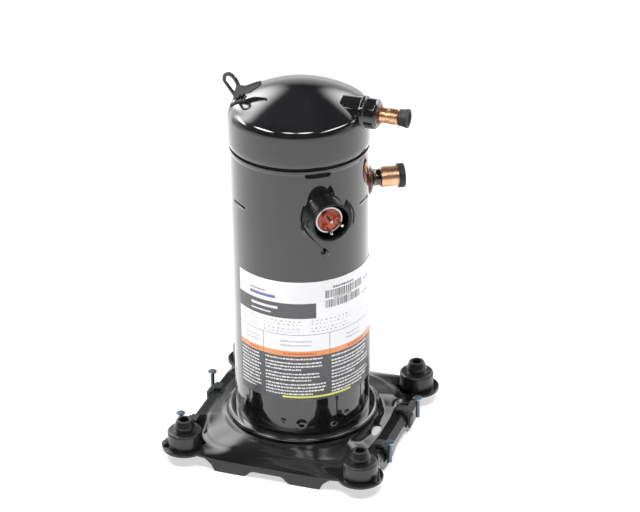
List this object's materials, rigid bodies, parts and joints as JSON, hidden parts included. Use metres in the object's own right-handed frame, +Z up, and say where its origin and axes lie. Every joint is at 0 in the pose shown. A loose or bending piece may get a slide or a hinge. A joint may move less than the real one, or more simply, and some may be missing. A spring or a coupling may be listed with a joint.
{
  "type": "hermetic scroll compressor",
  "caption": "Tall welded steel canister with a domed top, copper pipe stubs and a terminal cup, on a square pressed plate with rubber feet; the scroll set and motor are inside.",
  "frame": {"origin": "on the shell's axis, in the plane of the base plate's rim tabs", "axes": "+Z up along the shaft, +X towards the discharge stub, the terminal and label face -Y"},
  "size_m": [0.2384, 0.2384, 0.4062],
  "materials": {
    "shell_paint": "gloss black enamel",
    "plate_paint": "semi-gloss black enamel",
    "label_film": "printed film, satin",
    "copper": "drawn copper, heat marked",
    "grommet_rubber": "moulded, matte",
    "cap_rubber": "moulded, satin",
    "steel": "machined",
    "pin_steel": "blue-grey passivated",
    "clip_plastic": "moulded",
    "insulator": "moulded, satin",
    "cast_iron": "cast and machined",
    "lamination": "stacked sheet",
    "winding": "varnished copper wire",
    "bronze": "turned",
    "seal": "filled polymer"
  },
  "bodies": {
    "housing": {"base_plate": "plate_paint", "bottom_cap": "shell_paint", "center_shell": "shell_paint", "check_valve_guide": "steel", "discharge_fitting": "shell_paint", "discharge_stub": "copper", "earth_screw": "steel", "earth_strap": "plate_paint", "fixed_scroll": "cast_iron", "grommet_fl": "grommet_rubber", "grommet_fr": "grommet_rubber", "grommet_rl": "grommet_rubber", "grommet_rr": "grommet_rubber", "label": "label_film", "lifting_bracket": "plate_paint", "lower_bearing_bracket": "steel", "lower_bearing_bush": "bronze", "main_bearing_bush": "bronze", "main_bearing_housing": "cast_iron", "muffler_plate": "steel", "rail_clip_fl": "clip_plastic", "rail_clip_fr": "clip_plastic", "rail_clip_rl": "clip_plastic", "rail_clip_rr": "clip_plastic", "rail_pin_fl": "pin_steel", "rail_pin_fr": "pin_steel", "rail_pin_rl": "pin_steel", "rail_pin_rr": "pin_steel", "scroll_screw_a": "steel", "scroll_screw_b": "steel", "scroll_screw_c": "steel", "scroll_screw_d": "steel", "stator_core": "lamination", "suction_baffle": "steel", "suction_fitting": "shell_paint", "suction_stub": "copper", "terminal_body": "steel", "terminal_ear": "shell_paint", "terminal_fence": "shell_paint", "terminal_insulator": "insulator", "terminal_pin_a": "steel", "terminal_pin_b": "steel", "terminal_pin_c": "steel", "thrust_washer": "bronze", "top_cap": "shell_paint", "winding_lower": "winding", "winding_upper": "winding"},
    "crank": {"crankshaft": "steel", "drive_bush": "bronze", "lower_counterweight": "cast_iron", "rotor_core": "lamination", "upper_counterweight": "cast_iron"},
    "orbiting": {"orbiting_scroll": "cast_iron"},
    "oldham": {"oldham_ring": "steel"},
    "valve": {"check_valve_disc": "steel"},
    "seal": {"floating_seal": "seal"},
    "discharge_plug": {"discharge_plug": "cap_rubber"},
    "suction_cap": {"suction_cap": "cap_rubber"}
  },
  "joints": [
    {"name": "crank_spin", "type": "hinge", "parent": "housing", "child": "crank", "pos_m": [0, 0, 0.15], "axis": [0, 0, 1], "continuous": true},
    {"name": "scroll_orbit", "type": "hinge", "parent": "crank", "child": "orbiting", "pos_m": [0.00366, 0, 0.263], "axis": [0, 0, 1], "continuous": true},
    {"name": "oldham_slide", "type": "slide", "parent": "housing", "child": "oldham", "axis": [1, 0, 0], "range_m": [-0.00732, 0]},
    {"name": "valve_lift", "type": "slide", "parent": "housing", "child": "valve", "axis": [0, 0, 1], "range_m": [0, 0.005]},
    {"name": "seal_lift", "type": "slide", "parent": "housing", "child": "seal", "axis": [0, 0, 1], "range_m": [0, 0.0015]},
    {"name": "discharge_plug_pull", "type": "slide", "parent": "housing", "child": "discharge_plug", "axis": [1, 0, 0], "range_m": [0, 0.05]},
    {"name": "suction_cap_pull", "type": "slide", "parent": "housing", "child": "suction_cap", "axis": [0.866, 0.5, 0], "range_m": [0, 0.04]}
  ],
  "couplings": [
    {"joint": "scroll_orbit", "follows": "crank_spin", "ratio": -1}
  ]
}
